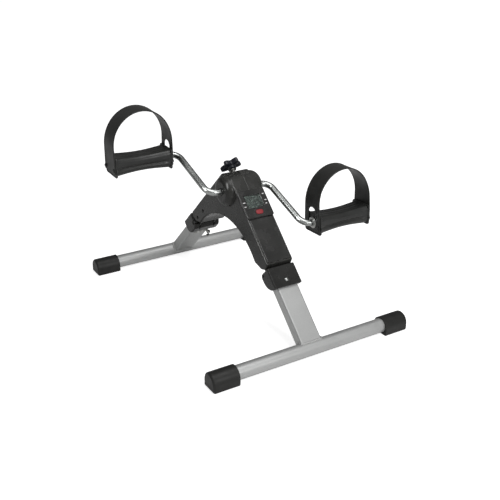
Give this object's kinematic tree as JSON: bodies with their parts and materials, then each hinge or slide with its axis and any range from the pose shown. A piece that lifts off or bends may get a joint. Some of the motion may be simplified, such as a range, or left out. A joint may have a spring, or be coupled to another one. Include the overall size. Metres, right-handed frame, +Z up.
{
  "type": "folding pedal exerciser",
  "caption": "Folding tabletop or floor pedal exerciser with a Z-bent crank, strapped pedals, star tension knob, small display and folding legs on capped floor tubes.",
  "frame": {"origin": "on the floor, midway between the two floor tubes and midway between their ends", "axes": "+X to the user's right, +Y away from the user (display side is -Y), +Z up"},
  "size_m": [0.4156, 0.5304, 0.3771],
  "materials": {
    "housing": "fine moulded texture",
    "cover": "fine moulded texture",
    "cap": "smooth moulded",
    "pedal": "ribbed moulded",
    "strap": "smooth vinyl",
    "leg_paint": "silver powder coat",
    "chrome": "polished",
    "zinc": "zinc plated",
    "dark_steel": "black coated",
    "knob": "glossy moulded",
    "button": "glossy moulded",
    "lcd": "grey-green display glass",
    "window": "clear",
    "board": "circuit board",
    "battery": "polished cell",
    "mark": "printed",
    "felt": "felt",
    "bronze": "sintered",
    "drum": "machined",
    "magnet": "nickel plated",
    "cable": "smooth"
  },
  "bodies": {
    "base": {"housing_left": "housing", "housing_right": "housing", "front_cover": "cover", "housing_screws": "zinc", "display_case": "cover", "display_window": "window", "display_lcd": "lcd", "display_board": "board", "display_battery": "battery", "display_marks": "mark", "frame_plate_left": "dark_steel", "frame_plate_right": "dark_steel", "frame_spacers": "zinc", "bushing_left": "bronze", "bushing_right": "bronze", "reed_sensor": "cover", "sensor_cable": "cable", "front_hinge_pin": "dark_steel", "rear_hinge_pin": "dark_steel"},
    "display_button": {"display_button": "button"},
    "tension_knob": {"tension_knob": "knob", "tension_screw": "zinc"},
    "brake_shoe": {"brake_nut": "zinc", "brake_pad": "felt"},
    "crank": {"crank_rod": "chrome", "brake_drum": "drum", "sensor_magnet": "magnet", "drum_screw": "dark_steel", "left_pedal_retainer": "zinc", "right_pedal_retainer": "zinc", "left_pedal_washer": "zinc", "right_pedal_washer": "zinc"},
    "left_pedal": {"left_pedal_body": "pedal", "left_pedal_plate_inner": "pedal", "left_pedal_plate_outer": "pedal", "left_strap": "strap"},
    "right_pedal": {"right_pedal_body": "pedal", "right_pedal_plate_inner": "pedal", "right_pedal_plate_outer": "pedal", "right_strap": "strap"},
    "front_leg": {"front_knuckle": "cover", "front_leg": "leg_paint", "front_floor_tube": "leg_paint", "front_weld": "leg_paint", "front_cap_left": "cap", "front_cap_right": "cap", "front_button_spring": "zinc"},
    "rear_leg": {"rear_knuckle": "cover", "rear_leg": "leg_paint", "rear_floor_tube": "leg_paint", "rear_weld": "leg_paint", "rear_cap_left": "cap", "rear_cap_right": "cap", "rear_button_spring": "zinc", "hook_bracket": "zinc", "hook_rivets": "zinc"},
    "front_lock_button": {"front_lock_button": "chrome"},
    "rear_lock_button": {"rear_lock_button": "chrome"},
    "transport_hook": {"transport_hook": "dark_steel"}
  },
  "joints": [
    {"name": "crank_turn", "type": "hinge", "parent": "base", "child": "crank", "pos_m": [0, -0.005, 0.2297], "axis": [1, 0, 0], "continuous": true},
    {"name": "left_pedal_spin", "type": "hinge", "parent": "crank", "child": "left_pedal", "pos_m": [-0.148, 0.10194, 0.27957], "axis": [1, 0, 0], "continuous": true},
    {"name": "right_pedal_spin", "type": "hinge", "parent": "crank", "child": "right_pedal", "pos_m": [0.148, -0.11194, 0.17983], "axis": [1, 0, 0], "continuous": true},
    {"name": "front_leg_fold", "type": "hinge", "parent": "base", "child": "front_leg", "pos_m": [0, -0.13566, 0.1139], "axis": [1, 0, 0], "range_deg": [0, 92]},
    {"name": "rear_leg_fold", "type": "hinge", "parent": "base", "child": "rear_leg", "pos_m": [0, 0.12985, 0.11941], "axis": [-1, 0, 0], "range_deg": [0, 92]},
    {"name": "front_button_press", "type": "slide", "parent": "front_leg", "child": "front_lock_button", "axis": [0, 0.6884, -0.7254], "range_m": [0, 0.003]},
    {"name": "rear_button_press", "type": "slide", "parent": "rear_leg", "child": "rear_lock_button", "axis": [0, -0.6884, -0.7254], "range_m": [0, 0.003]},
    {"name": "hook_swing", "type": "hinge", "parent": "rear_leg", "child": "transport_hook", "pos_m": [0.0186, 0.15284, 0.08188], "axis": [-1, 0, 0], "range_deg": [0, 70]},
    {"name": "tension_turn", "type": "hinge", "parent": "base", "child": "tension_knob", "pos_m": [0, 0.025, 0.2664], "axis": [0, -0.766, -0.6428], "range_deg": [0, 540]},
    {"name": "brake_press", "type": "slide", "parent": "base", "child": "brake_shoe", "axis": [0, -0.766, -0.6428], "range_m": [0, 0.0019]},
    {"name": "display_button_press", "type": "slide", "parent": "base", "child": "display_button", "axis": [0, 0.6884, -0.7254], "range_m": [0, 0.0008]}
  ],
  "couplings": [
    {"joint": "brake_press", "follows": "tension_turn", "m_per_rad": 0.00019894}
  ]
}
